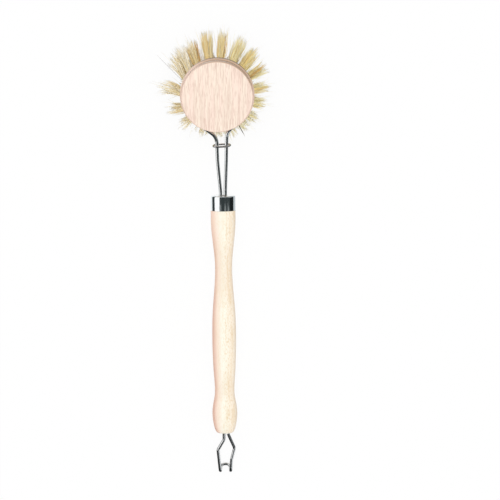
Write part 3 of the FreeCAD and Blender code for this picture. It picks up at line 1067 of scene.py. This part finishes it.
def model_fibre():
    """A spike one unit long and one unit in radius, with rings along it and a point at its tip."""
    bpy.ops.mesh.primitive_circle_add(vertices=fibre_sides, radius=1, fill_type="NGON")
    spike = bpy.context.object
    bpy.ops.object.mode_set(mode="EDIT")
    bpy.ops.mesh.select_all(action="SELECT")
    step = {"value": (0, 0, 1 / fibre_rings)}
    for ring in range(fibre_rings):
        bpy.ops.mesh.extrude_region_move(TRANSFORM_OT_translate=step)
    bpy.ops.mesh.merge(type="CENTER")
    bpy.ops.mesh.select_all(action="SELECT")
    bpy.ops.mesh.normals_make_consistent(inside=False)
    bpy.ops.object.mode_set(mode="OBJECT")
    corners = np.array([vertex.co for vertex in spike.data.vertices])
    faces = [tuple(face.vertices) for face in spike.data.polygons]
    bpy.data.objects.remove(spike)
    return corners, faces


spike_corners, spike_faces = model_fibre()
print("one fibre has", len(spike_faces), "faces")

# %% [markdown]
# ## Each tuft its own way
# No two tufts hang alike, and those of the outer row are all seen, so each has a habit. It says how
# many degrees the tuft turns round the head, how far it reaches and how broadly it opens against a
# plain tuft, its mood, which is the middle of its shades from dark at 0 to pale at 1, and by how
# many millimetres it arches and its two halves part. Some tufts have fewer fibres than others, and
# three have lone fibres with a tip, reach, shade and radius of their own.

# %% Habits of the tufts
# Turn, reach, breadth and mood, and for some tufts arch and fork.
plain_habit = (0, 1.0, 1.0, 0.55)
middle_habit = (0, 1.08, 1.85, 0.36)
inner_habits = {"middle": middle_habit, "inner": plain_habit, "centre": plain_habit}
# Moods differ from tuft to tuft; the pale moods of the tufts nearest the handle, under the tilted head, are partly
# painted light that offsets the head's shade.
outer_habits = [
    (0, 1.24, 0.85, 0.54),
    (2, 1.15, 1.20, 0.70),
    (2, 1.13, 1.10, 0.58),
    (2, 1.04, 1.05, 0.68),
    (3, 0.95, 1.00, 0.68),
    (4, 0.99, 1.00, 0.76),
    (4, 0.98, 0.95, 0.90),
    (-2, 0.95, 0.95, 0.92),
    (-4, 0.95, 1.00, 0.95),
    (-6, 0.90, 1.00, 0.95),
    (-5, 0.97, 1.00, 0.92),
    (0, 1.10, 1.05, 0.82),
    (0, 1.12, 1.00, 0.78),
    (5, 1.32, 1.25, 0.74, 1.2, 0.6),
    (18, 1.12, 1.25, 0.80, 1.6),
    (10, 1.15, 1.25, 0.84, 0.6),
    (5, 1.12, 1.12, 0.44),
    (3, 1.20, 1.45, 0.60, 0, -0.4),
]
fibres_in_tuft = {"outer": 150, "middle": 100, "inner": 90, "centre": 90}
outer_shares = {
    7: 0.7, 8: 0.7, 9: 0.7, 10: 0.7, 11: 0.7, 12: 0.5, 13: 0.7, 14: 0.65, 15: 0.85, 16: 0.85,
    18: 1.2,
}
# Tip out of the lean and round the head in millimetres, reach, shade, and radius in millimetres.
lone_fibres = {
    "tuft_outer_01": [(0, 2.6, 1.05, 0.30, 0.09), (0, 1.6, 1.12, 0.30, 0.09)],
    "tuft_outer_08": [(-9.8, -1.7, 0.37, -0.30, 0.34)],
    "tuft_outer_15": [(-6, -9, 1.50, -0.10, 0.08)],
}
reaches = [habit[1] for habit in outer_habits]
print("the outer tufts reach", min(reaches), "to", max(reaches), "times a plain tuft's length")

# %% How fibres vary
seed = 11
clumps = 12
clump_disc = 0.8
clump_scatter, tip_scatter, stray_scatter = 0.55 * mm, 0.3 * mm, 2.8 * mm
clump_opening = 0.6
mean_length, clump_lengths, fibre_lengths = 0.96, 0.05, 0.04
short_share, short_lengths = 0.2, (0.65, 0.95)
clump_bow, fibre_bow = 0.4 * mm, 0.25 * mm
clump_shades, palest_mood, widest_mood = 0.36, 1.15, 0.48
fibre_shades, darkest_shade = 0.16, 0.16
fibre_radius, radius_range = 0.145 * mm, (0.65, 1.25)
stray_share, stray_length, stray_shades = 0.14, 1.06, (0.8, 1.0)
stray_radius = 0.075 * mm
chance = np.random.default_rng(seed)
golden_angle = math.pi * (3 - math.sqrt(5))


def seeds_in_disc(count, radius):
    """Points spread evenly over a disc, as the seeds in a sunflower are."""
    number = np.arange(count)
    reach = radius * np.sqrt((number + 0.5) / count)
    angle = number * golden_angle + chance.uniform(0, math.tau)
    return np.stack([reach * np.cos(angle), reach * np.sin(angle)], axis=1)


print("fibres hang in", clumps, "clumps")

# %% Laying the fibres of a tuft
tuft_length = 22.4 * mm
tuft_reach = 28 * mm
tuft_spread = 2.15


def lay_fibres(count, lone, turn, reach, breadth, mood, arch=0, fork=0):
    """Roots and tips across the tuft, lengths, bows, shades and radii of its fibres."""
    root = seeds_in_disc(count, hole_radius - fibre_radius)
    clump_root = seeds_in_disc(clumps, clump_disc * hole_radius)
    clump = np.argmin(np.linalg.norm(root[:, None] - clump_root[None], axis=2), axis=1)
    spread = tuft_spread * breadth
    clump_tip = clump_root * spread + chance.normal(0, clump_scatter, (clumps, 2))
    clump_tip[:, 1] += np.sign(clump_root[:, 1]) * fork * mm
    tip = clump_tip[clump] + (root - clump_root[clump]) * spread * clump_opening
    tip = tip + chance.normal(0, tip_scatter, (count, 2))
    share = mean_length + chance.normal(0, clump_lengths, clumps)[clump]
    share = share + chance.normal(0, fibre_lengths, count)
    length = tuft_length * reach * share
    short = chance.random(count) < short_share
    length = np.where(short, length * chance.uniform(*short_lengths, count), length)
    bow = chance.normal(0, clump_bow, (clumps, 2))[clump]
    bow = bow + chance.normal(0, fibre_bow, (count, 2))
    variety = clump_shades * min(palest_mood - mood, widest_mood)
    shade = mood + chance.normal(0, variety, clumps)[clump] + chance.normal(0, fibre_shades, count)
    thick = fibre_radius * chance.uniform(*radius_range, count)
    strays = chance.random(count) < stray_share
    tip[strays] += chance.normal(0, stray_scatter, (strays.sum(), 2))
    length[strays] *= stray_length
    shade[strays] = chance.uniform(*stray_shades, strays.sum())
    thick[strays] = stray_radius
    shade = np.clip(shade, darkest_shade, 1)
    tip[:, 1] -= tuft_reach * math.tan(math.radians(turn))
    bow[:, 1] -= arch * mm
    for number, (out, round_head, far_reach, own_shade, own_radius) in enumerate(lone):
        tip[number] = out * mm, round_head * mm
        length[number] = tuft_length * far_reach
        bow[number] = 0
        shade[number] = own_shade
        thick[number] = own_radius * mm
    return root, tip, length, bow, shade, thick


print("a plain tuft is", round(tuft_length / mm, 1), "mm long")

# %% Growing the tufts
root_depth = 4.5 * mm
tip_taper = 0.35
late_spread = 1.1
table_clear = 0.15 * mm


def bend_spikes(root, tip, length, bow, thick):
    """Corners of the bent fibres, and how far along its fibre's free length each corner is."""
    share = spike_corners[:, 2]
    out = share[None, :] * (length[:, None] + root_depth) - root_depth
    free = np.clip(out / length[:, None], 0, 1)
    taper = thick[:, None] * (1 - tip_taper * share[None, :])
    aside = (root[:, None, :] + (tip - root)[:, None, :] * free[..., None] ** late_spread
             + bow[:, None, :] * np.sin(free * math.pi)[..., None]
             + spike_corners[None, :, :2] * taper[..., None])
    corners = np.concatenate([aside, out[..., None], np.ones_like(out)[..., None]], axis=2)
    return corners.reshape(-1, 4), free.reshape(-1)


def grow_tuft(name, lean, radius, bearing):
    row, number = name.split("_")[1], name.split("_")[-1]
    habit = outer_habits[int(number) - 1] if row == "outer" else inner_habits[row]
    share = outer_shares.get(int(number), 1) if row == "outer" else 1
    count = int(fibres_in_tuft[row] * share)
    lone = lone_fibres.get(name, [])
    root, tip, length, bow, shade, thick = lay_fibres(count, lone, *habit)
    corners, along = bend_spikes(root, tip, length, bow, thick)
    place = np.array(head_place @ tuft_axes(lean, radius, bearing))
    corners = (corners @ place.T)[:, :3]
    corners[:, 2] = np.maximum(corners[:, 2], table_clear)
    step = len(spike_corners)
    faces = [tuple(step * fibre + corner for corner in face)
             for fibre in range(count) for face in spike_faces]
    mesh = bpy.data.meshes.new(name + "_fibres")
    mesh.from_pydata(corners.tolist(), [], faces)
    for kind, values in (("shade", np.repeat(shade, step)), ("along", along)):
        mesh.attributes.new(kind, "FLOAT", "POINT").data.foreach_set("value", values)
    mesh.materials.append(fibre_finish)
    tuft = bpy.data.objects.new(name + "_fibres", mesh)
    bpy.context.scene.collection.objects.link(tuft)
    active_only(tuft)
    bpy.ops.object.shade_smooth()
    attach(tuft, "head")
    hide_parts(name)
    return len(faces)


grown = [grow_tuft(*place) for place in tuft_places()]
print(len(grown), "tufts,", sum(grown), "faces")

# %% [markdown]
# ## What stays as it is
# The staples sit in the folds of the tufts, deep in the holes. Their solids are right as they are
# and only take their steel.

# %% Staples
staples = frame["nodes"]["tuft_staples"]
staples.data.materials.clear()
staples.data.materials.append(staple_steel)
print("staples in", staple_steel.name)

# %% [markdown]
# ## Last looks
# The picture keeps the colours as they are written.

# %% Finish
bpy.context.scene.view_settings.view_transform = "Standard"
